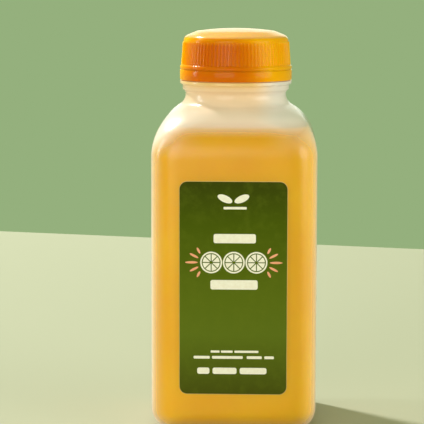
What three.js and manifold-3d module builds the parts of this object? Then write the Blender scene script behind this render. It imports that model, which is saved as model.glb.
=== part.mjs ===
// Small square juice bottle: a thin translucent bottle, orange juice up to its shoulder, a ribbed
// orange screw cap over its tamper band, and a green label with rounded corners on the front.
// Millimetres, +Z up, the front faces -Y, and the origin is under the bottle's axis on the plane it stands on.
import * as THREE from "three";
import { mergeVertices } from "three/addons/utils/BufferGeometryUtils.js";
import Module from "manifold-3d";

const wasm = await Module();
wasm.setup();

// Bottle body and shoulder
const bodyHalf = 29.8;
const cornerRadius = 9.6;
const wall = 0.8;
const heelRadius = 8.0;
const shoulderStart = 99.3;
const shoulderRadius = 21.5;
const filletRadius = 4.5;

// Underside: a flat standing ring round a shallow push-up
const ringInnerHalf = 19.4;
const ringInnerFlat = 14.0;
const pushUp = 1.7;
const floorThickness = 1.3;

// Neck: a collar and a ledge under the tamper band, then the spout inside the cap
const neckRadius = 18.4;
const neckTop = 121.3;
const collarRadius = 19.5;
const collarFoot = 122.1;
const collarTop = 124.1;
const collarEdge = 0.4;
const ledgeRadius = 20.45;
const ledgeFoot = 124.6;
const ledgeTop = 125.7;
const spoutRadius = 17.7;
const spoutWall = 1.0;
const lipTop = 140.7;
const lipRound = 0.3;

// Juice
const juiceGap = 0.3;
const juiceLevel = 109.3;

// Tamper band and screw cap
const bandFoot = 126.0;
const bandTop = 129.7;
const bandRadius = 20.5;
const bandInner = 19.0;
const bandEdge = 0.25;
const capFoot = 130.0;
const capTop = 144.6;
const flangeRadius = 20.45;
const flangeHeight = 1.5;
const flangeSide = 0.95;
const flangeEdge = 0.2;
const rootRadiusFoot = 19.65;
const rootRadiusTop = 19.15;
const capInner = 18.2;
const capInnerTop = 140.9;
const capCrown = 2.1;
const crownRadius = 14.2;
const crownDome = 1.0;
const crownSlope = 22;
const crownRound = 2.4;
const ribCount = 90;
const ribHeight = 0.35;
const ribTop = 139.9;
const ribFade = 0.9;

// Label
const labelWidth = 38.2;
const labelHeight = 76.5;
const labelFoot = 15.0;
const labelCorner = 2.7;
const labelThickness = 0.2;
const labelGap = 0.1;

// How finely round things are cut: each flat of the cap carries two ribs
const pointsRound = 48;
const latheSegments = ribCount / 2;
const outsideSteps = { heel: 4, shoulder: 8, fillet: 4 };
const insideSteps = { heel: 3, shoulder: 5, fillet: 2 };
const pushUpShares = [0.35, 0.7, 0.92];
const domeShares = [1, 0.75, 0.45, 0];
const cornerSegments = 6;
const mergeDistance = 1e-3;

const half = Math.PI / 2;
const flatHalf = bodyHalf - cornerRadius;

// The shoulder is a convex arc that turns into a concave fillet at the neck. This is the angle where they meet.
const shoulderTurn = Math.acos(1 - (bodyHalf - neckRadius) / (shoulderRadius + filletRadius));
const neckFoot = shoulderStart + (shoulderRadius + filletRadius) * Math.sin(shoulderTurn);

// Directions round a section, closer together at the four rounded corners.
function directions(count) {
  const crowding = 0.55;
  const angles = [];
  for (let i = 0; i < count; i++) {
    const u = (4 * i) / count;
    angles.push(half * (u + (crowding * Math.sin(2 * Math.PI * u)) / (2 * Math.PI)));
  }
  return angles;
}

// How far a rounded square reaches along a direction. flat is half the length of its straight sides,
// so a flat of zero is a circle.
function reach(angle, halfWidth, flat) {
  const quarter = ((angle % half) + half) % half;
  const off = Math.min(quarter, half - quarter);
  if (halfWidth * Math.tan(off) <= flat) return halfWidth / Math.cos(off);
  const along = Math.cos(off) + Math.sin(off);
  const radius = halfWidth - flat;
  return flat * along + Math.sqrt(Math.max(0, radius ** 2 - flat ** 2 * (2 - along ** 2)));
}

function section(station, count) {
  return directions(count).map((angle) => {
    const r = reach(angle, station.halfWidth, station.flat);
    return [r * Math.cos(angle), r * Math.sin(angle), station.z];
  });
}

// A closed solid through a list of rings with the same number of points, each counterclockwise from above.
// It starts and ends in a point at the middle of its first and last rings.
function loft(rings, startPoint, endPoint) {
  const count = rings[0].length;
  const points = [startPoint, ...rings.flat(), endPoint];
  const faces = [];
  const at = (ring, i) => 1 + ring * count + (i % count);
  for (let i = 0; i < count; i++) {
    faces.push(0, at(0, i + 1), at(0, i));
    for (let ring = 0; ring + 1 < rings.length; ring++) {
      faces.push(at(ring, i), at(ring, i + 1), at(ring + 1, i + 1));
      faces.push(at(ring, i), at(ring + 1, i + 1), at(ring + 1, i));
    }
    faces.push(points.length - 1, at(rings.length - 1, i), at(rings.length - 1, i + 1));
  }
  const geometry = new THREE.BufferGeometry();
  geometry.setAttribute("position", new THREE.Float32BufferAttribute(points.flat(), 3));
  geometry.setIndex(faces);
  return geometry;
}

// Square at the body, and rounder in step with the shoulder's narrowing, until it is a circle at the fillet.
function flatAt(turn) {
  const share = 1 - (1 - Math.cos(turn)) / (1 - Math.cos(shoulderTurn));
  return flatHalf * Math.max(0, share);
}

// Stations up the shoulder to the neck's foot, on a surface set in by offset from the outside one.
function shoulderStations(offset, convexSteps, filletSteps) {
  const stations = [];
  for (let i = 0; i <= convexSteps; i++) {
    const turn = (shoulderTurn * i) / convexSteps;
    const radius = shoulderRadius - offset;
    const halfWidth = bodyHalf - shoulderRadius + radius * Math.cos(turn);
    stations.push({ z: shoulderStart + radius * Math.sin(turn), halfWidth, flat: flatAt(turn) });
  }
  for (let i = 1; i <= filletSteps; i++) {
    const turn = shoulderTurn * (1 - i / filletSteps);
    const radius = filletRadius + offset;
    stations.push({
      z: neckFoot - radius * Math.sin(turn),
      halfWidth: neckRadius + filletRadius - radius * Math.cos(turn),
      flat: 0,
    });
  }
  return stations;
}

// Stations from the flat underside up round the heel, on a surface set in by offset.
function heelStations(offset, floor, steps) {
  const radius = heelRadius - offset;
  const stations = [];
  for (let i = 0; i <= steps; i++) {
    const turn = (half * i) / steps;
    stations.push({
      z: floor + radius * (1 - Math.cos(turn)),
      halfWidth: bodyHalf - heelRadius + radius * Math.sin(turn),
      flat: flatHalf,
    });
  }
  return stations;
}

// The shallow dome under the bottle, from its middle out to the standing ring.
function pushUpStations(foot) {
  return pushUpShares.map((share) => ({
    z: foot + pushUp * (1 - share ** 3),
    halfWidth: ringInnerHalf * share,
    flat: ringInnerFlat * share ** 2,
  }));
}

const round = (radius, z) => ({ z, halfWidth: radius, flat: 0 });

function bottleGeometry() {
  const outside = [
    ...pushUpStations(0),
    { z: 0, halfWidth: ringInnerHalf, flat: ringInnerFlat },
    ...heelStations(0, 0, outsideSteps.heel),
    ...shoulderStations(0, outsideSteps.shoulder, outsideSteps.fillet),
    round(neckRadius, neckTop),
    round(collarRadius - collarEdge, collarFoot),
    round(collarRadius, collarFoot + collarEdge),
    round(collarRadius, collarTop),
    round(ledgeRadius, ledgeFoot),
    round(ledgeRadius, ledgeTop),
    round(spoutRadius, ledgeTop),
    round(spoutRadius, lipTop - lipRound),
    round(spoutRadius - lipRound, lipTop),
  ];
  const inside = [
    round(spoutRadius - spoutWall + lipRound, lipTop),
    round(spoutRadius - spoutWall, lipTop - lipRound),
    round(spoutRadius - spoutWall, neckTop),
    ...shoulderStations(wall, insideSteps.shoulder, insideSteps.fillet).reverse(),
    ...heelStations(wall, floorThickness, insideSteps.heel).reverse(),
    ...pushUpStations(floorThickness).reverse(),
  ];
  const rings = [...outside, ...inside].map((station) => section(station, pointsRound));
  return loft(rings, [0, 0, pushUp], [0, 0, pushUp + floorThickness]);
}

// The station at a height in the shoulder, on a surface set in by offset.
function shoulderStationAt(z, offset) {
  const radius = shoulderRadius - offset;
  const turn = Math.asin((z - shoulderStart) / radius);
  return { z, halfWidth: bodyHalf - shoulderRadius + radius * Math.cos(turn), flat: flatAt(turn) };
}

function juiceGeometry() {
  const offset = wall + juiceGap;
  const foot = floorThickness + juiceGap;
  const shoulderSteps = 3;
  const stations = [...pushUpStations(foot), ...heelStations(offset, foot, insideSteps.heel)];
  for (let i = 0; i <= shoulderSteps; i++) {
    stations.push(shoulderStationAt(shoulderStart + ((juiceLevel - shoulderStart) * i) / shoulderSteps, offset));
  }
  const rings = stations.map((station) => section(station, pointsRound));
  return loft(rings, [0, 0, pushUp + foot], [0, 0, juiceLevel]);
}

// LatheGeometry turns about +Y, so the result is stood up along +Z.
function turned(outline) {
  const geometry = new THREE.LatheGeometry(
    outline.map(([radius, z]) => new THREE.Vector2(radius, z)),
    latheSegments,
  );
  return geometry.rotateX(half);
}

function solidOf(geometry) {
  const plain = geometry.clone();
  plain.deleteAttribute("normal");
  plain.deleteAttribute("uv");
  const merged = mergeVertices(plain, mergeDistance);
  return new wasm.Manifold(
    new wasm.Mesh({
      numProp: 3,
      vertProperties: new Float32Array(merged.attributes.position.array),
      triVerts: new Uint32Array(merged.index.array),
    }),
  );
}

function geometryOf(solid) {
  const mesh = solid.getMesh();
  const geometry = new THREE.BufferGeometry();
  geometry.setAttribute("position", new THREE.Float32BufferAttribute(mesh.vertProperties, 3));
  geometry.setIndex(Array.from(mesh.triVerts));
  return geometry;
}

// The smooth cup of the cap: flange, slightly tapered skirt, rounded edge, sloped crown and a top that is
// domed a little. It is hollow.
function capCup() {
  const edgeSteps = 3;
  const slope = THREE.MathUtils.degToRad(crownSlope);
  const edgeTurn = half - slope;
  const roundEnd = rootRadiusTop - crownRound * (1 - Math.cos(edgeTurn));
  const slopeFoot = capTop - crownDome - (roundEnd - crownRadius) * Math.tan(slope);
  const roundCentre = slopeFoot - crownRound * Math.sin(edgeTurn);
  const outline = [
    [0, capTop - capCrown],
    [crownRadius, capTop - capCrown],
    [capInner, capInnerTop],
    [capInner, capFoot],
    [flangeRadius - flangeEdge, capFoot],
    [flangeRadius, capFoot + flangeEdge],
    [flangeRadius, capFoot + flangeSide],
    [rootRadiusFoot + ribHeight, capFoot + flangeHeight],
    [rootRadiusFoot, capFoot + flangeHeight + flangeEdge],
  ];
  for (let i = 0; i <= edgeSteps; i++) {
    const turn = (edgeTurn * i) / edgeSteps;
    outline.push([
      rootRadiusTop - crownRound * (1 - Math.cos(turn)),
      roundCentre + crownRound * Math.sin(turn),
    ]);
  }
  for (const share of domeShares) {
    outline.push([crownRadius * share, capTop - crownDome * share ** 2]);
  }
  return turned(outline);
}

// One grip rib: a narrow ridge up the skirt that sinks into it under the crown.
function rib(angle) {
  const rootHalf = 0.42;
  const crestHalf = 0.24;
  const sunk = 0.4;
  const levels = [
    { z: capFoot + flangeHeight - flangeEdge, root: rootRadiusFoot, height: ribHeight },
    { z: ribTop - ribFade, root: rootRadiusTop, height: ribHeight },
    { z: ribTop, root: rootRadiusTop, height: -sunk / 4 },
  ];
  const place = (radius, side, z) => [
    radius * Math.cos(angle) - side * Math.sin(angle),
    radius * Math.sin(angle) + side * Math.cos(angle),
    z,
  ];
  const rings = levels.map(({ z, root, height }) => [
    place(root - sunk, -rootHalf, z),
    place(root + height, -crestHalf, z),
    place(root + height, crestHalf, z),
    place(root - sunk, rootHalf, z),
  ]);
  const middle = ({ root, z }) => place(root - sunk / 2, 0, z);
  return loft(rings, middle(levels[0]), middle(levels.at(-1)));
}

function capGeometry() {
  const ribs = [];
  for (let i = 0; i < ribCount; i++) ribs.push(solidOf(rib((2 * Math.PI * i) / ribCount)));
  return geometryOf(ribs.reduce((whole, each) => whole.add(each), solidOf(capCup())));
}

function bandGeometry() {
  return turned([
    [bandInner, bandFoot],
    [bandRadius - bandEdge, bandFoot],
    [bandRadius, bandFoot + bandEdge],
    [bandRadius, bandTop - bandEdge],
    [bandRadius - bandEdge, bandTop],
    [bandInner, bandTop],
    [bandInner, bandFoot],
  ]);
}

function labelGeometry() {
  const x = labelWidth / 2;
  const top = labelFoot + labelHeight;
  const shape = new THREE.Shape();
  shape.moveTo(-x + labelCorner, labelFoot);
  shape.lineTo(x - labelCorner, labelFoot);
  shape.absarc(x - labelCorner, labelFoot + labelCorner, labelCorner, -half, 0);
  shape.lineTo(x, top - labelCorner);
  shape.absarc(x - labelCorner, top - labelCorner, labelCorner, 0, half);
  shape.lineTo(-x + labelCorner, top);
  shape.absarc(-x + labelCorner, top - labelCorner, labelCorner, half, 2 * half);
  shape.lineTo(-x, labelFoot + labelCorner);
  shape.absarc(-x + labelCorner, labelFoot + labelCorner, labelCorner, 2 * half, 3 * half);
  const geometry = new THREE.ExtrudeGeometry(shape, {
    depth: labelThickness,
    bevelEnabled: false,
    curveSegments: cornerSegments,
  });
  // The outline is drawn in X and Z, and the thickness runs forwards along -Y from just off the wall.
  geometry.rotateX(half);
  return geometry.translate(0, -bodyHalf - labelGap, 0);
}

const finishes = {
  bottlePlastic: new THREE.MeshStandardMaterial({
    color: 0xf2ead6, roughness: 0.35, metalness: 0, transparent: true, opacity: 0.4,
  }),
  juice: new THREE.MeshStandardMaterial({ color: 0xf0a81c, roughness: 0.3, metalness: 0 }),
  capPlastic: new THREE.MeshStandardMaterial({ color: 0xf08c0a, roughness: 0.32, metalness: 0 }),
  labelPaper: new THREE.MeshStandardMaterial({ color: 0x3f5a1c, roughness: 0.55, metalness: 0 }),
};

function piece(name, geometry, material) {
  const mesh = new THREE.Mesh(geometry, material);
  mesh.name = name;
  return mesh;
}

const bottle = new THREE.Group();
bottle.add(piece("bottle", bottleGeometry(), finishes.bottlePlastic));
bottle.add(piece("juice", juiceGeometry(), finishes.juice));
bottle.add(piece("tamper_band", bandGeometry(), finishes.capPlastic));
bottle.add(piece("cap", capGeometry(), finishes.capPlastic));
bottle.add(piece("label", labelGeometry(), finishes.labelPaper));

export default bottle;
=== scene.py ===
import math

import bmesh
import bpy
from mathutils import Matrix, Vector


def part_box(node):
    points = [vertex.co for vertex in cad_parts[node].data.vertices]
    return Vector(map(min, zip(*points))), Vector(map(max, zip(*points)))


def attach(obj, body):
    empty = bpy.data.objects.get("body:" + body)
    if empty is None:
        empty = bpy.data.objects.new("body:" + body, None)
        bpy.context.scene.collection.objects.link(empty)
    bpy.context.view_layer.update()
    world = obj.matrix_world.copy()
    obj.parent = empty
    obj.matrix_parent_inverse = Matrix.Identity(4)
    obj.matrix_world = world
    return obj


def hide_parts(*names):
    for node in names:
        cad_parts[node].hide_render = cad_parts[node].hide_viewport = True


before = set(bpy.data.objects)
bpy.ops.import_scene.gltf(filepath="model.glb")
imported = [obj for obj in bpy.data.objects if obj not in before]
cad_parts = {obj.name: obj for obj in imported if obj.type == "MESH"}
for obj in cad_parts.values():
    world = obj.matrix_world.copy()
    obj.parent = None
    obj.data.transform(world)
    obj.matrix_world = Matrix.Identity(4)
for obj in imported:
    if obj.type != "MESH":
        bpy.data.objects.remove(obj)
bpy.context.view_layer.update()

# Everything is in metres. The bottle stands on z = 0 and its labelled front faces -Y.
mm = 0.001
quarterTurn = math.pi / 2
fullTurn = math.pi * 2

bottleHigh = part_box("bottle")[1]
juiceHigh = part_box("juice")[1]
capLow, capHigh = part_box("cap")
bandLow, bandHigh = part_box("tamper_band")
labelLow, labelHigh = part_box("label")


# Camera first: a long lens a little above the cap, slightly to the right of the front

camera = {
    "distance": 718.8 * mm,  # from the bottle's axis, level
    "height": 169.6 * mm,
    "aroundDegrees": 1.36,
    "pitchDegrees": 7.35,  # looking down
    "panDegrees": 0.69,  # turned to its left
    "rollDegrees": 0.1,
    "focalPixels": 1961.0,
    "framePixels": 424.0,
    "sensorMillimetres": 36.0,
    "near": 0.01,
    "far": 60.0,
}


def addCamera(user):
    around = math.radians(user["aroundDegrees"])
    heading = around + math.radians(user["panDegrees"])
    pitch = math.radians(user["pitchDegrees"])
    roll = math.radians(user["rollDegrees"])
    place = Vector((math.sin(around), -math.cos(around), 0)) * user["distance"]
    place.z = user["height"]
    ahead = Vector(
        (-math.sin(heading) * math.cos(pitch), math.cos(heading) * math.cos(pitch), -math.sin(pitch))
    )
    level = Vector((math.cos(heading), math.sin(heading), 0))
    upright = level.cross(ahead)
    across = level * math.cos(roll) + upright * math.sin(roll)
    up = upright * math.cos(roll) - level * math.sin(roll)
    bpy.ops.object.camera_add(location=place)
    made = bpy.context.object
    made.name = "photoCamera"
    made.matrix_world = Matrix.Translation(place) @ Matrix((across, up, -ahead)).transposed().to_4x4()
    made.data.sensor_width = user["sensorMillimetres"]
    made.data.lens = user["sensorMillimetres"] * user["focalPixels"] / user["framePixels"]
    made.data.clip_start = user["near"]
    made.data.clip_end = user["far"]
    made.data.dof.use_dof = False
    bpy.context.scene.camera = made


addCamera(camera)
print("camera placed")


# Small tools for modelling

def objectMode():
    if bpy.context.object and bpy.context.object.mode != "OBJECT":
        bpy.ops.object.mode_set(mode="OBJECT")


def selectNothing():
    objectMode()
    bpy.ops.object.select_all(action="DESELECT")


def selectOnly(*wanted):
    selectNothing()
    for each in wanted:
        each.select_set(True)
    bpy.context.view_layer.objects.active = wanted[-1]


def applyAll(piece):
    selectOnly(piece)
    bpy.ops.object.transform_apply(location=True, rotation=True, scale=True)


def applyModifier(piece, kind, **settings):
    selectOnly(piece)
    added = piece.modifiers.new(kind.title(), kind)
    for key, value in settings.items():
        setattr(added, key, value)
    bpy.ops.object.modifier_apply(modifier=added.name)


def joined(name, parts):
    selectOnly(*parts)
    bpy.ops.object.join()
    whole = bpy.context.object
    whole.name = name
    return whole


def faceOutwards(piece):
    selectOnly(piece)
    bpy.ops.object.mode_set(mode="EDIT")
    bpy.ops.mesh.select_all(action="SELECT")
    bpy.ops.mesh.normals_make_consistent(inside=False)
    objectMode()


smoothDegrees = 32  # sharper edges than this stay crisp


def smooth(piece):
    selectOnly(piece)
    bpy.ops.object.shade_smooth_by_angle(angle=math.radians(smoothDegrees))


def finishPiece(piece, material, slot, *nodes):
    piece.data.materials.clear()
    piece.data.materials.append(material)
    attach(piece, "root")
    if nodes:
        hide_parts(*nodes)


# Sections of the bottle are rounded squares that turn into circles towards the neck

def reach(angle, halfWidth, flat):  # how far a section goes out along a direction
    off = angle % quarterTurn
    off = min(off, quarterTurn - off)
    if halfWidth * math.tan(off) <= flat:
        return halfWidth / math.cos(off)
    along = math.cos(off) + math.sin(off)
    corner = halfWidth - flat
    return flat * along + math.sqrt(max(0.0, corner**2 - flat**2 * (2 - along**2)))


def crowded(angle, crowding):  # more points at the four corners than along the sides
    turns = angle / quarterTurn
    return quarterTurn * (turns + crowding * math.sin(fullTurn * turns) / fullTurn)


def section(z, halfWidth, flat=0.0):
    return {"z": z, "radiusAt": lambda angle: reach(angle, halfWidth, flat)}


def ringShaped(station, mesh):
    edit = bmesh.from_edit_mesh(mesh)
    for point in edit.verts:
        if point.select:
            angle = math.atan2(point.co.y, point.co.x)
            radius = station["radiusAt"](angle)
            point.co = (radius * math.cos(angle), radius * math.sin(angle), station["z"])
    bmesh.update_edit_mesh(mesh)


startRadius = 10 * mm  # of the first circle, before it takes its shape
meetWithin = 0.001 * mm


# One ring is shaped and extruded from station to station
def ringsUp(name, stations, count, crowding=0.0, closed=True):
    selectNothing()
    bpy.ops.mesh.primitive_circle_add(vertices=count, radius=startRadius, fill_type="NOTHING")
    piece = bpy.context.object
    piece.name = name
    for point in piece.data.vertices:
        angle = crowded(math.atan2(point.co.y, point.co.x), crowding)
        point.co = (startRadius * math.cos(angle), startRadius * math.sin(angle), 0)
    bpy.ops.object.mode_set(mode="EDIT")
    bpy.ops.mesh.select_all(action="SELECT")
    ringShaped(stations[0], piece.data)
    for station in stations[1:]:
        bpy.ops.mesh.extrude_region_move()
        ringShaped(station, piece.data)
    if closed:  # each end runs to a point in its middle
        bpy.ops.mesh.extrude_region_move()
        bpy.ops.mesh.merge(type="CENTER")
        bpy.ops.mesh.select_non_manifold()
        bpy.ops.mesh.extrude_region_move()
        bpy.ops.mesh.merge(type="CENTER")
    else:  # the last ring meets the first
        bpy.ops.mesh.select_all(action="SELECT")
        bpy.ops.mesh.remove_doubles(threshold=meetWithin)
    faceOutwards(piece)
    return piece


def arcSteps(start, end, count):
    return [start + (end - start) * step / count for step in range(count + 1)]


# Bottle: body, shoulder, neck, collar and ledge, and the spout that the cap hides

bottle = {
    "points": 128,
    "crowding": 0.55,
    "cornerRadius": 9.6 * mm,
    "wall": 0.8 * mm,
    "heelRadius": 8.0 * mm,
    "shoulderStart": 99.3 * mm,
    "shoulderRadius": 21.5 * mm,
    "filletRadius": 4.5 * mm,
    "ringInnerHalf": 19.4 * mm,
    "ringInnerFlat": 14.0 * mm,
    "pushUp": 1.7 * mm,
    "floor": 1.3 * mm,
    "neckRadius": 18.4 * mm,
    "neckTop": 121.3 * mm,
    "collar": [  # height and radius, from the neck up to the ledge under the band
        (121.9 * mm, 18.75 * mm),
        (122.3 * mm, 19.2 * mm),
        (122.6 * mm, 19.5 * mm),
        (124.1 * mm, 19.55 * mm),
        (124.5 * mm, 20.25 * mm),
        (124.75 * mm, 20.45 * mm),
        (125.7 * mm, 20.45 * mm),
    ],
    "ledgeTop": 125.7 * mm,
    "spoutRadius": 17.7 * mm,
    "spoutWall": 1.0 * mm,
    "spoutFoot": 123.3 * mm,  # on the inside
    "lipRound": 0.3 * mm,
    "edgeRound": 0.16 * mm,
    "roundedFromDegrees": 40,
    "pushUpSteps": 7,
    "outsideSteps": {"heel": 12, "side": 14, "shoulder": 26, "fillet": 10},
    "insideSteps": {"heel": 8, "side": 8, "shoulder": 18, "fillet": 6},
}
bodyHalf = bottleHigh.x
flatHalf = bodyHalf - bottle["cornerRadius"]
bothRadii = bottle["shoulderRadius"] + bottle["filletRadius"]
shoulderTurn = math.acos(1 - (bodyHalf - bottle["neckRadius"]) / bothRadii)
neckFoot = bottle["shoulderStart"] + bothRadii * math.sin(shoulderTurn)


def shoulderSection(turn, inset):
    radius = bottle["shoulderRadius"] - inset
    share = 1 - (1 - math.cos(turn)) / (1 - math.cos(shoulderTurn))
    return section(
        bottle["shoulderStart"] + radius * math.sin(turn),
        bodyHalf - bottle["shoulderRadius"] + radius * math.cos(turn),
        flatHalf * max(0.0, share),
    )


def shoulderSections(inset, steps):
    made = [shoulderSection(turn, inset) for turn in arcSteps(0, shoulderTurn, steps["shoulder"])]
    radius = bottle["filletRadius"] + inset
    for turn in arcSteps(shoulderTurn, 0, steps["fillet"])[1:]:
        centre = bottle["neckRadius"] + bottle["filletRadius"]
        made.append(section(neckFoot - radius * math.sin(turn), centre - radius * math.cos(turn)))
    return made


def heelSections(inset, foot, steps):
    radius = bottle["heelRadius"] - inset
    middle = bodyHalf - bottle["heelRadius"]
    return [
        section(foot + radius * (1 - math.cos(turn)), middle + radius * math.sin(turn), flatHalf)
        for turn in arcSteps(0, quarterTurn, steps)
    ]


def sideSections(inset, foot, top, steps):
    heights = arcSteps(foot, top, steps)[1:-1]
    return [section(z, bodyHalf - inset, flatHalf) for z in heights]


def pushUpSections(foot):
    made = []
    for share in arcSteps(0, 1, bottle["pushUpSteps"])[1:-1]:
        made.append(
            section(
                foot + bottle["pushUp"] * (1 - share**3),
                bottle["ringInnerHalf"] * share,
                bottle["ringInnerFlat"] * share**2,
            )
        )
    return made


# Floor, heel and sides of a surface that lies inside the outer one by the inset
def bodySections(inset, foot, steps):
    heelTop = foot + bottle["heelRadius"] - inset
    return (
        pushUpSections(foot)
        + heelSections(inset, foot, steps["heel"])
        + sideSections(inset, heelTop, bottle["shoulderStart"], steps["side"])
    )


def makeBottle(user):
    lip = bottleHigh.z
    spoutInside = user["spoutRadius"] - user["spoutWall"]
    outside = bodySections(0.0, 0.0, user["outsideSteps"])
    # The standing ring begins where the push-up ends
    ringInside = section(0.0, user["ringInnerHalf"], user["ringInnerFlat"])
    outside.insert(user["pushUpSteps"] - 1, ringInside)
    outside += shoulderSections(0.0, user["outsideSteps"])
    outside.append(section(user["neckTop"], user["neckRadius"]))
    outside += [section(z, radius) for z, radius in user["collar"]]
    outside += [
        section(user["ledgeTop"], user["spoutRadius"]),
        section(lip - user["lipRound"], user["spoutRadius"]),
        section(lip, user["spoutRadius"] - user["lipRound"]),
    ]
    inside = [
        section(lip, spoutInside + user["lipRound"]),
        section(lip - user["lipRound"], spoutInside),
        section(user["spoutFoot"], spoutInside),
    ]
    inside += shoulderSections(user["wall"], user["insideSteps"])[::-1]
    inside += bodySections(user["wall"], user["floor"], user["insideSteps"])[::-1]
    made = ringsUp("bottle_shell", outside + inside, user["points"], user["crowding"])
    applyModifier(
        made,
        "BEVEL",
        width=user["edgeRound"],
        segments=2,
        limit_method="ANGLE",
        angle_limit=math.radians(user["roundedFromDegrees"]),
    )
    return made


bottlePiece = makeBottle(bottle)
print("bottle modelled", len(bottlePiece.data.polygons), "faces")


# Juice: it wets the wall, so it reaches just into it, and it climbs the wall a little at its surface

juice = {
    "points": 96,
    "intoWall": 0.4 * mm,
    "climb": 0.9 * mm,
    "climbReach": 3.2 * mm,
    "steps": {"heel": 8, "side": 10},
    "shoulderSteps": 12,
    "climbSteps": 8,
    "surfaceRings": (0.6, 0.25),  # shares of the surface's width
}


def makeJuice(user):
    inset = bottle["wall"] - user["intoWall"]
    foot = bottle["floor"] - user["intoWall"]
    level = juiceHigh.z
    radius = bottle["shoulderRadius"] - inset
    rimTurn = math.asin((level + user["climb"] - bottle["shoulderStart"]) / radius)
    rings = bodySections(inset, foot, user["steps"])
    rings += [shoulderSection(turn, inset) for turn in arcSteps(0, rimTurn, user["shoulderSteps"])]
    widthAtRim = bodyHalf - bottle["shoulderRadius"] + radius * math.cos(rimTurn)
    share = 1 - (1 - math.cos(rimTurn)) / (1 - math.cos(shoulderTurn))
    for step in arcSteps(0, 1, user["climbSteps"])[1:]:
        z = level + user["climb"] * (1 - step) ** 3
        rings.append(section(z, widthAtRim - user["climbReach"] * step, flatHalf * share))
    levelHalf = widthAtRim - user["climbReach"]
    for shrink in user["surfaceRings"]:
        rings.append(section(level, levelHalf * shrink, flatHalf * share * shrink))
    return ringsUp("juice_fill", rings, user["points"], bottle["crowding"])


juicePiece = makeJuice(juice)
print("juice poured")


# Cap: flange, ribbed skirt, rounded edge and sloped crown over a hollow inside

cap = {
    "ribs": 90,
    "pointsEachRib": 8,
    "ribHeight": 0.36 * mm,
    "ribShare": 0.62,  # of its pitch that a rib takes up
    "ribFoot": 131.65 * mm,
    "ribTop": 139.9 * mm,
    "ribFade": 0.9 * mm,
    "flange": [  # height above the cap's foot, and how far in from its widest
        (0.0, 0.2 * mm),
        (0.06 * mm, 0.06 * mm),
        (0.2 * mm, 0.0),
        (0.83 * mm, 0.0),
        (1.0 * mm, 0.06 * mm),
    ],
    "flangeTop": 1.45 * mm,
    "skirtFoot": 19.65 * mm,
    "skirtTop": 19.15 * mm,
    "insideRadius": 18.2 * mm,
    "insideFoot": 4.0 * mm,
    "insideTop": 140.9 * mm,
    "insideRing": 0.5,  # share of the crown's radius
    "crown": 2.1 * mm,  # thickness at the middle
    "crownRadius": 14.2 * mm,
    "dome": 1.0 * mm,
    "slopeDegrees": 22.0,
    "edgeRadius": 2.4 * mm,
    "slopeRings": (0.35, 0.7),
    "steps": {"skirt": 8, "fade": 6, "edge": 8, "dome": 8},
}


def ribbed(z, base, height, user):
    pitch = fullTurn / user["ribs"]

    def radiusAt(angle):
        off = abs((angle / pitch + 0.5) % 1.0 - 0.5) * 2 / user["ribShare"]
        crest = 0.5 + 0.5 * math.cos(math.pi * min(1.0, off))
        return base + height * crest

    return {"z": z, "radiusAt": radiusAt}


def makeCap(user):
    top = capHigh.z
    foot = capLow.z
    flangeRadius = capHigh.x
    slope = math.radians(user["slopeDegrees"])
    edgeTurn = quarterTurn - slope
    edgeIn = user["skirtTop"] - user["edgeRadius"] * (1 - math.cos(edgeTurn))
    slopeFoot = top - user["dome"] - (edgeIn - user["crownRadius"]) * math.tan(slope)
    edgeCentre = slopeFoot - user["edgeRadius"] * math.sin(edgeTurn)
    rings = [
        section(top - user["crown"], user["crownRadius"] * user["insideRing"]),
        section(top - user["crown"], user["crownRadius"]),
        section(user["insideTop"], user["insideRadius"]),
        section(foot + user["insideFoot"], user["insideRadius"]),
        section(foot, user["insideRadius"]),
    ]
    rings += [section(foot + up, flangeRadius - inwards) for up, inwards in user["flange"]]
    rings.append(section(foot + user["flangeTop"], user["skirtFoot"] + user["ribHeight"]))
    for share in arcSteps(0, 1, user["steps"]["skirt"]):
        z = user["ribFoot"] + (user["ribTop"] - user["ribFade"] - user["ribFoot"]) * share
        base = user["skirtFoot"] + (user["skirtTop"] - user["skirtFoot"]) * share
        rings.append(ribbed(z, base, user["ribHeight"], user))
    for share in arcSteps(0, 1, user["steps"]["fade"])[1:]:
        z = user["ribTop"] - user["ribFade"] * (1 - share)
        rings.append(ribbed(z, user["skirtTop"], user["ribHeight"] * math.sqrt(1 - share**2), user))
    for turn in arcSteps(0, edgeTurn, user["steps"]["edge"]):
        across = user["skirtTop"] - user["edgeRadius"] * (1 - math.cos(turn))
        rings.append(section(edgeCentre + user["edgeRadius"] * math.sin(turn), across))
    for share in user["slopeRings"]:
        across = edgeIn + (user["crownRadius"] - edgeIn) * share
        rings.append(section(slopeFoot + (edgeIn - across) * math.tan(slope), across))
    for share in arcSteps(1, 0, user["steps"]["dome"])[:-1]:
        rings.append(section(top - user["dome"] * share**2, user["crownRadius"] * share))
    return ringsUp("cap_shell", rings, user["ribs"] * user["pointsEachRib"])


capPiece = makeCap(cap)
print("cap modelled", len(capPiece.data.polygons), "faces")


# Tamper band, with the thin bridges that tie it to the cap

band = {
    "points": 128,
    "inside": 19.0 * mm,
    "edge": 0.25 * mm,
    "edgeMiddle": 0.3,  # where a rounded edge has its middle point
    "bridges": 20,
    "bridgeWidth": 0.8 * mm,
    "bridgeDepth": 0.5 * mm,
    "bridgeRound": 0.05 * mm,
    "sunkIn": 0.1 * mm,  # of the bridges and the web, into cap and band
    "webDepth": 0.35 * mm,  # how far behind the band's face the thin scored web lies
    "webThickness": 0.3 * mm,
}


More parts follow.
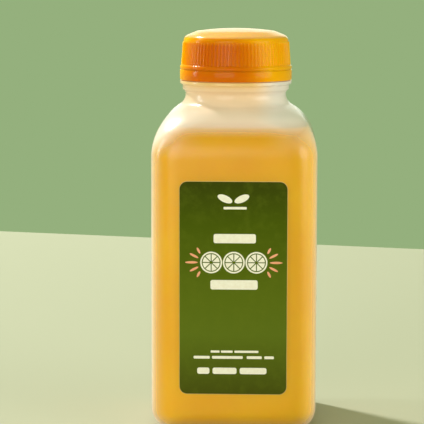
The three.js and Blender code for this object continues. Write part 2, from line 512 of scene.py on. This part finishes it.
def makeBand(user):
    foot = bandLow.z
    top = bandHigh.z
    outer = bandHigh.x
    edge = user["edge"]
    middle = edge * user["edgeMiddle"]
    rings = [
        section(foot, user["inside"]),
        section(foot, outer - edge),
        section(foot + middle, outer - middle),
        section(foot + edge, outer),
        section(top - edge, outer),
        section(top - middle, outer - middle),
        section(top, outer - edge),
        section(top, user["inside"]),
        section(foot, user["inside"]),
    ]
    return ringsUp("band_ring", rings, user["points"], closed=False)


def makeBridges(user):
    gap = capLow.z - bandHigh.z
    made = []
    for count in range(user["bridges"]):
        angle = fullTurn * (count + 0.5) / user["bridges"]
        radius = bandHigh.x - user["edge"] - user["bridgeDepth"] / 2
        bpy.ops.mesh.primitive_cube_add(
            size=1,
            location=(radius * math.cos(angle), radius * math.sin(angle), bandHigh.z + gap / 2),
            rotation=(0, 0, angle),
            scale=(user["bridgeDepth"], user["bridgeWidth"], gap + user["sunkIn"]),
        )
        applyAll(bpy.context.object)
        made.append(bpy.context.object)
    whole = joined("band_bridges", made)
    applyModifier(whole, "BEVEL", width=user["bridgeRound"], segments=2)
    return whole


def makeWeb(user):
    outer = bandHigh.x - user["webDepth"]
    inner = outer - user["webThickness"]
    foot = bandHigh.z - user["sunkIn"]
    top = capLow.z + user["sunkIn"]
    corners = ((foot, inner), (foot, outer), (top, outer), (top, inner), (foot, inner))
    rings = [section(z, radius) for z, radius in corners]
    return ringsUp("band_web", rings, user["points"], closed=False)


bandPiece = makeBand(band)
bridgePiece = joined("band_bridges", [makeBridges(band), makeWeb(band)])
print("tamper band modelled")


# Label: a thin film on the front with a narrow pale edge, and plain printed shapes

label = {
    "corner": 2.7 * mm,
    "edgeShows": 0.22 * mm,
    "inkProud": 0.03 * mm,
    "clearOfWall": 0.02 * mm,
    "edgeBehind": 0.08 * mm,
    "edgeThick": 0.07 * mm,
}
labelFront = labelLow.y
labelCentre = (labelLow + labelHigh) / 2
inkFront = labelFront - label["inkProud"]


def plate(name, x, z, width, height, corner, front, depth, roundness=8):
    selectNothing()
    bpy.ops.mesh.primitive_plane_add(size=1, location=(x, front, z), rotation=(quarterTurn, 0, 0))
    piece = bpy.context.object
    piece.name = name
    piece.scale = (width, height, 1)
    bpy.ops.object.transform_apply(location=False, rotation=False, scale=True)
    bpy.ops.object.mode_set(mode="EDIT")
    bpy.ops.mesh.select_all(action="SELECT")
    bpy.ops.mesh.bevel(offset=corner, segments=roundness, affect="VERTICES")
    bpy.ops.mesh.select_all(action="SELECT")
    bpy.ops.mesh.extrude_region_move(TRANSFORM_OT_translate={"value": (0, depth, 0)})
    objectMode()
    applyAll(piece)
    faceOutwards(piece)
    return piece


def makeLabel(user):
    width = labelHigh.x - labelLow.x
    height = labelHigh.z - labelLow.z
    behind = -bodyHalf - user["clearOfWall"]
    thick = behind - labelFront
    film = plate("label_film", 0, labelCentre.z, width, height, user["corner"], labelFront, thick)
    shown = user["edgeShows"]
    rim = plate(
        "label_edge",
        0,
        labelCentre.z,
        width + 2 * shown,
        height + 2 * shown,
        user["corner"] + shown,
        behind - user["edgeBehind"],
        user["edgeThick"],
    )
    return film, rim


labelPiece, rimPiece = makeLabel(label)

# Places on the label are from its centre, x to the right and z up, with sizes in the same units
printed = {
    "ink": 0.06 * mm,  # thickness, partly sunk into the film
    "dashCorner": 0.3,  # share of a dash's height
    "dashRoundness": 3,
    "dashes": [  # z, height, then x and width of each dash
        (28.9 * mm, 0.9 * mm, [(0.6 * mm, 8.2 * mm)]),
        (-22.8 * mm, 0.8 * mm, [(-6.4 * mm, 3.2 * mm), (-2.2 * mm, 4.2 * mm), (4.8 * mm, 8.6 * mm)]),
        (
            -24.9 * mm,
            1.0 * mm,
            [
                (-11.2 * mm, 5.8 * mm),
                (-2.0 * mm, 11.0 * mm),
                (7.6 * mm, 5.4 * mm),
                (12.9 * mm, 3.4 * mm),
            ],
        ),
        (-29.8 * mm, 2.3 * mm, [(-10.6 * mm, 4.4 * mm), (-3.0 * mm, 8.6 * mm), (7.2 * mm, 9.6 * mm)]),
    ],
}


def makeDashes(user):
    made = []
    for up, height, row in user["dashes"]:
        z = labelCentre.z + up
        corner = height * user["dashCorner"]
        for x, width in row:
            made.append(
                plate("dash", x, z, width, height, corner, inkFront, user["ink"], user["dashRoundness"])
            )
    return made


slices = {
    "radius": 3.9 * mm,
    "peel": 0.55 * mm,
    "gap": 0.35 * mm,
    "segments": 8,
    "points": 48,  # round each circle
    "x": 0.2 * mm,
    "z": 9.4 * mm,
    "spacing": 8.05 * mm,
    "count": 3,
}


# A round face, left in edit mode with all of it selected
def disc(name, x, z, radius, front, points):
    selectNothing()
    bpy.ops.mesh.primitive_circle_add(
        vertices=points,
        radius=radius,
        fill_type="NGON",
        location=(x, front, z),
        rotation=(quarterTurn, 0, 0),
    )
    piece = bpy.context.object
    piece.name = name
    applyAll(piece)
    bpy.ops.object.mode_set(mode="EDIT")
    bpy.ops.mesh.select_all(action="SELECT")
    return piece


def thicken():  # what is selected, by the thickness of the ink
    bpy.ops.mesh.extrude_region_move(TRANSFORM_OT_translate={"value": (0, printed["ink"], 0)})


def makeSlice(x, z, user):
    peel = disc("peel", x, z, user["radius"], inkFront, user["points"])
    bpy.ops.mesh.inset(thickness=user["peel"], depth=0)
    bpy.ops.mesh.delete(type="FACE")
    bpy.ops.mesh.select_all(action="SELECT")
    thicken()
    faceOutwards(peel)
    made = [peel]
    pulp = user["radius"] - user["peel"] - user["gap"]
    halfAngle = math.pi / user["segments"]
    for count in range(user["segments"]):
        turn = fullTurn * (count + 0.5) / user["segments"]
        wedge = disc("wedge", x, z, pulp, inkFront, user["points"])
        edit = bmesh.from_edit_mesh(wedge.data)
        for side in (-1, 1):  # cut the disc down to one segment with the gap beside it
            cut = turn + side * halfAngle
            away = Vector((-math.sin(cut), 0, math.cos(cut))) * side
            place = Vector((x, inkFront, z)) - away * user["gap"] / 2
            everything = edit.verts[:] + edit.edges[:] + edit.faces[:]
            bmesh.ops.bisect_plane(
                edit, geom=everything, plane_co=place, plane_no=away, clear_outer=True
            )
        bmesh.update_edit_mesh(wedge.data)
        bpy.ops.mesh.select_all(action="SELECT")
        thicken()
        faceOutwards(wedge)
        made.append(wedge)
    return made


def makeSlices(user):
    made = []
    for count in range(user["count"]):
        x = user["x"] + (count - (user["count"] - 1) / 2) * user["spacing"]
        made += makeSlice(x, labelCentre.z + user["z"], user)
    return made


bars = {  # x, z, width and height of each
    "over": (0.5 * mm, 18.0 * mm, 15.0 * mm, 3.3 * mm),
    "under": (0.3 * mm, 1.4 * mm, 16.8 * mm, 3.4 * mm),
    "corner": 0.7 * mm,
}


def makeBars(user):
    made = []
    for key in ("over", "under"):
        x, up, width, height = user[key]
        z = labelCentre.z + up
        made.append(plate("bar", x, z, width, height, user["corner"], inkFront, printed["ink"]))
    return made


rays = {  # beside the row of slices, as a small burst: near and far end of each, outwards and upwards
    "x": 0.2 * mm,
    "z": 9.4 * mm,
    "width": 0.85 * mm,
    "ends": [
        ((12.8 * mm, 0.0), (17.3 * mm, 0.0)),
        ((12.6 * mm, 1.6 * mm), (15.7 * mm, 3.2 * mm)),
        ((12.0 * mm, 3.2 * mm), (13.1 * mm, 5.3 * mm)),
        ((12.6 * mm, -1.6 * mm), (15.7 * mm, -3.2 * mm)),
        ((12.0 * mm, -3.2 * mm), (13.1 * mm, -5.3 * mm)),
    ],
}


spindlePoints = 32


def spindle(name, x, z, long, wide, angle):  # a flat long oval, turned by the angle
    piece = disc(name, 0, 0, wide / 2, 0, spindlePoints)
    bpy.ops.transform.resize(value=(long / wide, 1, 1), center_override=(0, 0, 0))
    thicken()
    objectMode()
    piece.rotation_euler = (0, -angle, 0)
    piece.location = (x, inkFront, z)
    applyAll(piece)
    faceOutwards(piece)
    return piece


def makeRays(user):
    made = []
    for side in (-1, 1):
        for near, far in user["ends"]:
            out = (far[0] - near[0]) * side
            rise = far[1] - near[1]
            long = math.hypot(out, rise)
            angle = math.atan2(rise, out)
            x = user["x"] + side * (near[0] + far[0]) / 2
            z = labelCentre.z + user["z"] + (near[1] + far[1]) / 2
            made.append(spindle("ray", x, z, long, user["width"], angle))
    return made


leaves = {  # a plain sprig of two leaves at the top of the label
    "z": 32.2 * mm,
    "apart": 3.0 * mm,
    "long": 5.6 * mm,
    "wide": 2.5 * mm,
    "tiltDegrees": 24.0,
}


def makeLeaves(user):
    made = []
    for side in (-1, 1):
        tilt = math.radians(user["tiltDegrees"]) * side
        z = labelCentre.z + user["z"]
        made.append(spindle("leaf", user["apart"] * side, z, user["long"], user["wide"], tilt))
    return made


creamParts = makeDashes(printed) + makeSlices(slices) + makeBars(bars) + makeLeaves(leaves)
creamPiece = joined("label_print_cream", creamParts)
coralPiece = joined("label_print_coral", makeRays(rays))
print("label printed")


# Materials

def newMaterial(name):
    made = bpy.data.materials.new(name)
    made.use_nodes = True
    made.node_tree.nodes.clear()
    return made, made.node_tree


def addNode(tree, kind, **settings):
    made = tree.nodes.new(kind)
    for key, value in settings.items():
        if key in made.inputs:
            made.inputs[key].default_value = value
        else:
            setattr(made, key, value)
    return made


def link(tree, source, output, target, socket):
    tree.links.new(source.outputs[output], target.inputs[socket])


def noiseAt(tree, coordinates, scale, detail=3.0, roughness=0.55):
    made = addNode(tree, "ShaderNodeTexNoise")
    made.inputs["Scale"].default_value = scale
    made.inputs["Detail"].default_value = detail
    made.inputs["Roughness"].default_value = roughness
    link(tree, coordinates, "Object", made, "Vector")
    return made


def rampOf(tree, source, output, stops):
    made = addNode(tree, "ShaderNodeValToRGB")
    ramp = made.color_ramp
    ramp.elements[0].position, ramp.elements[0].color = stops[0]
    ramp.elements[1].position, ramp.elements[1].color = stops[-1]
    for place, colour in stops[1:-1]:
        ramp.elements.new(place).color = colour
    link(tree, source, output, made, "Fac")
    return made


# Brings one range of values onto another, eased at both ends
def spread(tree, source, output, low, high, newLow=0.0, newHigh=1.0):
    made = addNode(tree, "ShaderNodeMapRange", interpolation_type="SMOOTHSTEP")
    made.inputs["From Min"].default_value = low
    made.inputs["From Max"].default_value = high
    made.inputs["To Min"].default_value = newLow
    made.inputs["To Max"].default_value = newHigh
    link(tree, source, output, made, "Value")
    return made


def bumpOf(tree, source, output, strength, distance):
    made = addNode(tree, "ShaderNodeBump")
    made.inputs["Strength"].default_value = strength
    made.inputs["Distance"].default_value = distance
    link(tree, source, output, made, "Height")
    return made


def objectPlace(tree):  # the Object coordinates, whole and split up
    coordinates = addNode(tree, "ShaderNodeTexCoord")
    parts = addNode(tree, "ShaderNodeSeparateXYZ")
    link(tree, coordinates, "Object", parts, "Vector")
    return coordinates, parts


# Each value is a number, or a node with the name or place of its output
def worked(tree, operation, *values, clamp=False):
    made = addNode(tree, "ShaderNodeMath", operation=operation, use_clamp=clamp)
    for place, value in enumerate(values):
        if isinstance(value, tuple):
            link(tree, value[0], value[1], made, place)
        else:
            made.inputs[place].default_value = value
    return made


colourA, colourB, colourOut = 6, 7, 2  # the colour sockets of a Mix node


def mixedColour(tree, share, first, second):  # the second is a node or a plain colour
    made = addNode(tree, "ShaderNodeMix", data_type="RGBA")
    link(tree, share, 0, made, "Factor")
    link(tree, first, 0, made, colourA)
    if isinstance(second, tuple):
        made.inputs[colourB].default_value = second
    else:
        link(tree, second, 0, made, colourB)
    return made


def mixedShader(tree, share, first, second):  # the share is a node or a number
    made = addNode(tree, "ShaderNodeMixShader")
    if isinstance(share, float):
        made.inputs["Fac"].default_value = share
    else:
        link(tree, share, 0, made, "Fac")
    link(tree, first, 0, made, 1)
    link(tree, second, 0, made, 2)
    return made


def setGlow(surface, user):
    surface.inputs["Roughness"].default_value = user["roughness"]
    surface.inputs["Specular IOR Level"].default_value = user["gloss"]
    surface.inputs["Subsurface Weight"].default_value = user["glow"]
    surface.inputs["Subsurface Radius"].default_value = user["glowReach"]
    surface.inputs["Subsurface Scale"].default_value = 1.0  # the reach is in metres already


def toOutput(tree, surface):
    out = addNode(tree, "ShaderNodeOutputMaterial")
    link(tree, surface, 0, out, "Surface")


plasticLook = {
    "milkLow": (0.99, 0.83, 0.71, 1),
    # These two tones hold a painted orange glow from the cap, strongest under it
    "capGlowMilk": (0.99, 0.74, 0.46, 1),
    "capGlowUnderCap": (0.99, 0.68, 0.27, 1),
    "highAt": 0.94,  # share of the way from the juice up to the ledge
    # A pale tone for painted highlight on the left shoulder and painted sheen on the right of the neck
    "paintedLightTone": (1.0, 0.92, 0.85, 1),
    "lightWithin": 0.23,  # stands in for light that crosses the whole bottle
    "through": 0.35,  # share of the milk's light that passes the wall
    "milkRoughness": 0.7,
    "milkOverAir": 0.88,
    "milkOverJuice": 0.02,
    "fadeBelow": 2.8 * mm,  # the level, where the milk fades in
    "fadeAbove": 3.6 * mm,
    "edgeMilk": 1.2,
    "edgeCurve": 1.8,
    "cornerMilk": 0.32,
    "cornerFrom": 38 * mm,  # distances from the axis along x and y together
    "cornerTo": 54 * mm,
    "cornerBelow": 1 * mm,  # the shoulder's start
    "cornerAbove": 2 * mm,  # the juice's level
    # Painted light on the shoulder's left, as extra milk and a paler tone; then painted sheen on the
    # right of the neck
    "leftPaintedLight": 0.45,
    "leftFrom": -27 * mm,
    "leftTo": -16 * mm,
    "leftAbove": 1 * mm,
    "leftPaintedPaler": 1.8,
    "rightFrom": 6 * mm,
    "rightTo": 16 * mm,
    "rightBelow": 2 * mm,
    "rightAbove": 5 * mm,
    "waves": (45.0, 2.0),  # scale and detail of the noise
    "waveRelief": (0.25, 0.6 * mm),  # strength and height
    "grain": (900.0, 2.0),
    "grainRelief": (0.12, 0.05 * mm),
    "roughness": 0.23,
    "refraction": 1.5,
}


# How milky the wall is from place to place, and how much of that is painted light on the shoulder's left
def milkiness(tree, parts, user):
    start = bottle["shoulderStart"]
    level = juiceHigh.z
    bottom = level - user["fadeBelow"]
    top = level + user["fadeAbove"]
    overLevel = spread(tree, parts, "Z", bottom, top, user["milkOverJuice"], user["milkOverAir"])
    # The wall is milkier where it is seen edge on
    facing = addNode(tree, "ShaderNodeLayerWeight")
    facing.inputs["Blend"].default_value = 0.5
    curve = worked(tree, "POWER", (facing, "Facing"), user["edgeCurve"])
    haze = worked(tree, "MULTIPLY", (curve, 0), user["edgeMilk"])
    thicker = worked(tree, "MAXIMUM", (overLevel, 0), (haze, 0))
    # It is also milkier at the four corners of the shoulder, and most of all on the shoulder's left,
    # where the extra milk is painted light on the lit side
    across = worked(tree, "ABSOLUTE", (parts, "X"))
    through = worked(tree, "ABSOLUTE", (parts, "Y"))
    both = worked(tree, "ADD", (across, 0), (through, 0))
    corners = spread(tree, both, 0, user["cornerFrom"], user["cornerTo"], 0.0, user["cornerMilk"])
    shoulder = spread(tree, parts, "Z", start - user["cornerBelow"], level + user["cornerAbove"])
    shoulderCorners = worked(tree, "MULTIPLY", (corners, 0), (shoulder, 0))
    onLeft = spread(tree, parts, "X", user["leftFrom"], user["leftTo"], user["leftPaintedLight"], 0.0)
    leftShoulder = spread(tree, parts, "Z", start, level + user["leftAbove"])
    left = worked(tree, "MULTIPLY", (onLeft, 0), (leftShoulder, 0))
    sides = worked(tree, "ADD", (shoulderCorners, 0), (left, 0))
    return worked(tree, "ADD", (thicker, 0), (sides, 0), clamp=True), left


# Painted light: the tone warms towards the cap as a painted orange glow from it, and the left of the
# shoulder and the right of the neck are painted paler as painted highlight and painted sheen
def milkTone(tree, parts, left, user):
    upwards = spread(tree, parts, "Z", juiceHigh.z, bottle["ledgeTop"])
    stops = [(0.0, user["milkLow"]), (user["highAt"], user["capGlowMilk"]), (1.0, user["capGlowUnderCap"])]
    capGlowTone = rampOf(tree, upwards, 0, stops)
    # Painted sheen on the right of the neck, added to the painted highlight on the left of the shoulder
    onRight = spread(tree, parts, "X", user["rightFrom"], user["rightTo"])
    bottom = juiceHigh.z - user["rightBelow"]
    overJuice = spread(tree, parts, "Z", bottom, juiceHigh.z + user["rightAbove"])
    pale = worked(tree, "MULTIPLY", (onRight, 0), (overJuice, 0))
    paintedLightShare = worked(tree, "MULTIPLY_ADD", (left, 0), user["leftPaintedPaler"], (pale, 0), clamp=True)
    return mixedColour(tree, paintedLightShare, capGlowTone, user["paintedLightTone"])


def makeBottlePlastic(user):
    made, tree = newMaterial("thin milky plastic")
    coordinates, parts = objectPlace(tree)
    milk, left = milkiness(tree, parts, user)
    tone = milkTone(tree, parts, left, user)
    relief = bumpOf(tree, noiseAt(tree, coordinates, *user["waves"]), 0, *user["waveRelief"])
    fine = bumpOf(tree, noiseAt(tree, coordinates, *user["grain"]), 0, *user["grainRelief"])
    link(tree, relief, 0, fine, "Normal")
    body = addNode(tree, "ShaderNodeBsdfPrincipled")
    body.inputs["Roughness"].default_value = user["milkRoughness"]
    body.inputs["Specular IOR Level"].default_value = 0.0
    body.inputs["Emission Strength"].default_value = user["lightWithin"]
    link(tree, tone, colourOut, body, "Base Color")
    link(tree, tone, colourOut, body, "Emission Color")
    glow = addNode(tree, "ShaderNodeBsdfTranslucent")
    link(tree, tone, colourOut, glow, "Color")
    clear = addNode(tree, "ShaderNodeBsdfTransparent")
    wall = mixedShader(tree, milk, clear, mixedShader(tree, user["through"], body, glow))
    gloss = addNode(tree, "ShaderNodeBsdfGlossy")
    gloss.inputs["Roughness"].default_value = user["roughness"]
    link(tree, fine, 0, gloss, "Normal")
    edge = addNode(tree, "ShaderNodeFresnel")
    edge.inputs["IOR"].default_value = user["refraction"]
    link(tree, fine, 0, edge, "Normal")
    toOutput(tree, mixedShader(tree, edge, wall, gloss))
    return made


juiceLook = {
    "deep": (0.88, 0.485, 0.002, 1),
    "bright": (0.92, 0.56, 0.005, 1),
    "deepTo": 0.35,  # values of the noise
    "brightFrom": 0.65,
    "cloud": (28.0, 3.0),
    "pulp": (1400.0, 2.0),
    "pulpRelief": (0.15, 0.1 * mm),
    "roughness": 0.25,
    "refraction": 1.34,
    "gloss": 0.1,
    "glowReach": (5 * mm, 3 * mm, 0.6 * mm),
    "glow": 0.6,
    "lightWithin": 0.15,  # stands in for light that crosses the whole bottle
}


def makeJuiceFinish(user):
    made, tree = newMaterial("cloudy orange juice")
    coordinates = addNode(tree, "ShaderNodeTexCoord")
    cloud = noiseAt(tree, coordinates, *user["cloud"])
    stops = [(user["deepTo"], user["deep"]), (user["brightFrom"], user["bright"])]
    colour = rampOf(tree, cloud, 0, stops)
    relief = bumpOf(tree, noiseAt(tree, coordinates, *user["pulp"]), 0, *user["pulpRelief"])
    surface = addNode(tree, "ShaderNodeBsdfPrincipled")
    link(tree, colour, 0, surface, "Base Color")
    link(tree, colour, 0, surface, "Emission Color")
    link(tree, relief, 0, surface, "Normal")
    setGlow(surface, user)
    surface.inputs["IOR"].default_value = user["refraction"]
    surface.inputs["Emission Strength"].default_value = user["lightWithin"]
    toOutput(tree, surface)
    return made


capLook = {
    # The one orange in painted shade (deep) and in painted light (bright); the lines below place the
    # painted shade on the front left and the painted light at the rim
    "deep": (0.67, 0.142, 0.0003, 1),
    "bright": (0.98, 0.415, 0.001, 1),
    "paintedShadeSide": (-0.35, -0.94, 0),
    "deepFrom": 9.0 * mm,
    "deepTo": 19.5 * mm,
    "rimFrom": 138.4 * mm,
    "rimTo": 140.6 * mm,
    "rimPaintedLight": 0.38,
    "flow": (60.0, 3.0),
    "flowRange": (0.3, 0.7),  # values of the noise
    "drift": 0.06,
    "grain": (1600.0, 2.0),
    "grainRelief": (0.12, 0.04 * mm),
    # The crown's slope and top are painted paler than the skirt, as painted light from above
    "slope": (0.88, 0.43, 0.13, 1),
    "top": (0.73, 0.34, 0.10, 1),
    "slopeFrom": 141.2 * mm,
    "slopeTo": 141.8 * mm,
    "topFrom": 143.2 * mm,
    "topTo": 144.2 * mm,
    "roughness": 0.16,
    "gloss": 0.1,
    "glow": 0.4,
    "glowReach": (2.4 * mm, 0.9 * mm, 0.15 * mm),
}


def makeCapPlastic(user):
    made, tree = newMaterial("orange cap plastic")
    coordinates, parts = objectPlace(tree)
    flow = noiseAt(tree, coordinates, *user["flow"])
    # Painted shade and light: the orange is painted deepest on the front left as painted shade, and more
    # golden round the rest and at the rim as painted light
    side = addNode(tree, "ShaderNodeVectorMath", operation="DOT_PRODUCT")
    link(tree, coordinates, "Object", side, 0)
    side.inputs[1].default_value = user["paintedShadeSide"]
    litSideShare = spread(tree, side, "Value", user["deepFrom"], user["deepTo"], 1.0, 0.0)
    rim = spread(tree, parts, "Z", user["rimFrom"], user["rimTo"], 0.0, user["rimPaintedLight"])
    lit = worked(tree, "ADD", (litSideShare, 0), (rim, 0))
    drift = spread(tree, flow, 0, *user["flowRange"], -user["drift"], user["drift"])
    tint = worked(tree, "ADD", (lit, 0), (drift, 0), clamp=True)
    colour = rampOf(tree, tint, 0, [(0.0, user["deep"]), (1.0, user["bright"])])
    # The crown is painted a paler orange than the skirt, as painted light from above
    onTop = spread(tree, parts, "Z", user["topFrom"], user["topTo"])
    crown = rampOf(tree, onTop, 0, [(0.0, user["slope"]), (1.0, user["top"])])
    overSkirt = spread(tree, parts, "Z", user["slopeFrom"], user["slopeTo"])
    tone = mixedColour(tree, overSkirt, colour, crown)
    relief = bumpOf(tree, noiseAt(tree, coordinates, *user["grain"]), 0, *user["grainRelief"])
    surface = addNode(tree, "ShaderNodeBsdfPrincipled")
    link(tree, tone, colourOut, surface, "Base Color")
    link(tree, relief, 0, surface, "Normal")
    setGlow(surface, user)
    toOutput(tree, surface)
    return made


labelLook = {
    "field": [  # from the foot of the label to its top
        (0.0, (0.066, 0.076, 0.004, 1)),
        (0.28, (0.112, 0.156, 0.010, 1)),
        (0.45, (0.104, 0.146, 0.006, 1)),
        (0.80, (0.066, 0.098, 0.0003, 1)),
        (1.0, (0.040, 0.052, 0.0003, 1)),
    ],
    "fleck": (0.130, 0.170, 0.010, 1),
    "fleckShare": 0.25,
    "fleckRange": (0.42, 0.72),  # values of the noise
    "mottle": (260.0, 4.0, 0.65),  # with the roughness of the noise
    "grain": (1500.0, 3.0),
    "grainRelief": (0.15, 0.03 * mm),
    "roughness": 0.5,
    "gloss": 0.06,
}


def makeLabelFilm(user):
    made, tree = newMaterial("printed green film")
    coordinates, parts = objectPlace(tree)
    upwards = addNode(tree, "ShaderNodeMapRange")
    upwards.inputs["From Min"].default_value = labelLow.z
    upwards.inputs["From Max"].default_value = labelHigh.z
    link(tree, parts, "Z", upwards, "Value")
    field = rampOf(tree, upwards, 0, user["field"])
    mottle = noiseAt(tree, coordinates, *user["mottle"])
    flecks = spread(tree, mottle, 0, *user["fleckRange"], 0.0, user["fleckShare"])
    colour = mixedColour(tree, flecks, field, user["fleck"])
    relief = bumpOf(tree, noiseAt(tree, coordinates, *user["grain"]), 0, *user["grainRelief"])
    surface = addNode(tree, "ShaderNodeBsdfPrincipled")
    link(tree, colour, colourOut, surface, "Base Color")
    link(tree, relief, 0, surface, "Normal")
    surface.inputs["Roughness"].default_value = user["roughness"]
    surface.inputs["Specular IOR Level"].default_value = user["gloss"]
    toOutput(tree, surface)
    return made


inkLook = {
    "cream": ((0.93, 0.85, 0.75, 1), (0.98, 0.92, 0.84, 1)),
    "coral": ((0.90, 0.34, 0.18, 1), (0.96, 0.42, 0.24, 1)),
    "edge": ((0.84, 0.52, 0.13, 1), (0.88, 0.58, 0.18, 1)),
    "tonesAt": (0.35, 0.65),  # values of the noise
    "wear": (700.0, 3.0),
    "roughness": 0.5,
}


def makeInk(name, tones, user):
    made, tree = newMaterial(name)
    coordinates = addNode(tree, "ShaderNodeTexCoord")
    wear = noiseAt(tree, coordinates, *user["wear"])
    colour = rampOf(tree, wear, 0, list(zip(user["tonesAt"], tones)))
    surface = addNode(tree, "ShaderNodeBsdfPrincipled")
    link(tree, colour, 0, surface, "Base Color")
    surface.inputs["Roughness"].default_value = user["roughness"]
    toOutput(tree, surface)
    return made


bottlePlastic = makeBottlePlastic(plasticLook)
juiceFinish = makeJuiceFinish(juiceLook)
capPlastic = makeCapPlastic(capLook)
labelFilm = makeLabelFilm(labelLook)
creamInk = makeInk("cream ink", inkLook["cream"], inkLook)
coralInk = makeInk("coral ink", inkLook["coral"], inkLook)
edgeFilm = makeInk("pale film edge", inkLook["edge"], inkLook)

finishes = [  # piece, material, slot and the node that it replaces
    (bottlePiece, bottlePlastic, "bottle_plastic", "bottle"),
    (juicePiece, juiceFinish, "juice", "juice"),
    (capPiece, capPlastic, "cap_plastic", "cap"),
    (bandPiece, capPlastic, "cap_plastic", "tamper_band"),
    (bridgePiece, capPlastic, "cap_plastic"),
    (labelPiece, labelFilm, "label_film", "label"),
    (rimPiece, edgeFilm, "label_print"),
    (creamPiece, creamInk, "label_print"),
    (coralPiece, coralInk, "label_accent"),
]
for row in finishes:
    smooth(row[0])
for row in finishes:
    finishPiece(*row)
print("materials given")


# Floor and studio light

studio = {
    "floorSize": 24.0,
    "floorTurnDegrees": -14.0,
    "floorBehind": 0.455,  # how far behind the bottle the floor ends
    "floorColour": (0.40, 0.385, 0.27, 1),
    "floorRoughness": 0.7,
    "worldColour": (0.30, 0.434, 0.205, 1),
    "worldStrength": 1.0,
    "lightsLookAt": (0, 0, 80 * mm),
}
lights = {  # size across in metres and power in watts; a tall light is a rectangle, the others are discs
    "key light": {
        "place": (-1.68, 1.62, 2.36),
        "size": 0.36,
        "power": 126.0,
        "colour": (0.98, 1.0, 0.97),
    },
    "left window": {
        "place": (-1.70, 0.05, 0.64),
        "size": 0.16,
        "tall": 1.28,
        "power": 10.4,
        "colour": (0.97, 1.0, 1.0),
    },
    "front light": {
        "place": (-0.60, -1.5, 0.30),
        "size": 1.2,
        "power": 11.6,
        "colour": (1.0, 0.87, 0.84),
    },
    "right window": {
        "place": (1.10, -0.60, 0.34),
        "size": 0.9,
        "power": 7.4,
        "colour": (1.0, 0.97, 0.92),
    },
    "back light": {
        "place": (0.0, 1.8, 0.62),
        "size": 1.1,
        "power": 3.5,
        "colour": (1.0, 0.96, 0.90),
    },
}


def makeFloor(user):
    selectNothing()
    turn = math.radians(user["floorTurnDegrees"])
    toMiddle = Vector((-math.sin(turn), math.cos(turn), 0)) * user["floorSize"] / 2
    place = Vector((0, user["floorBehind"], 0)) - toMiddle
    bpy.ops.mesh.primitive_plane_add(size=user["floorSize"], location=place, rotation=(0, 0, turn))
    floor = bpy.context.object
    floor.name = "studio_floor"
    made, tree = newMaterial("pale floor")
    surface = addNode(tree, "ShaderNodeBsdfPrincipled")
    surface.inputs["Base Color"].default_value = user["floorColour"]
    surface.inputs["Roughness"].default_value = user["floorRoughness"]
    toOutput(tree, surface)
    floor.data.materials.append(made)


def addLight(name, user, target):
    bpy.ops.object.light_add(type="AREA", location=user["place"])
    lamp = bpy.context.object
    lamp.name = name
    lamp.data.shape = "RECTANGLE" if "tall" in user else "DISK"
    lamp.data.size = user["size"]
    if "tall" in user:
        lamp.data.size_y = user["tall"]
    lamp.data.energy = user["power"]
    lamp.data.color = user["colour"]
    lamp.rotation_mode = "QUATERNION"
    lamp.rotation_quaternion = (Vector(target) - Vector(user["place"])).to_track_quat("-Z", "Y")


def makeWorld(user):
    scene = bpy.context.scene
    scene.world = bpy.data.worlds.new("studio")
    scene.world.use_nodes = True
    background = scene.world.node_tree.nodes["Background"]
    background.inputs["Color"].default_value = user["worldColour"]
    background.inputs["Strength"].default_value = user["worldStrength"]
    scene.view_settings.view_transform = "Standard"
    scene.view_settings.look = "None"
    scene.view_settings.exposure = 0.0


makeFloor(studio)
for name, values in lights.items():
    addLight(name, values, studio["lightsLookAt"])
makeWorld(studio)
print("studio lit")
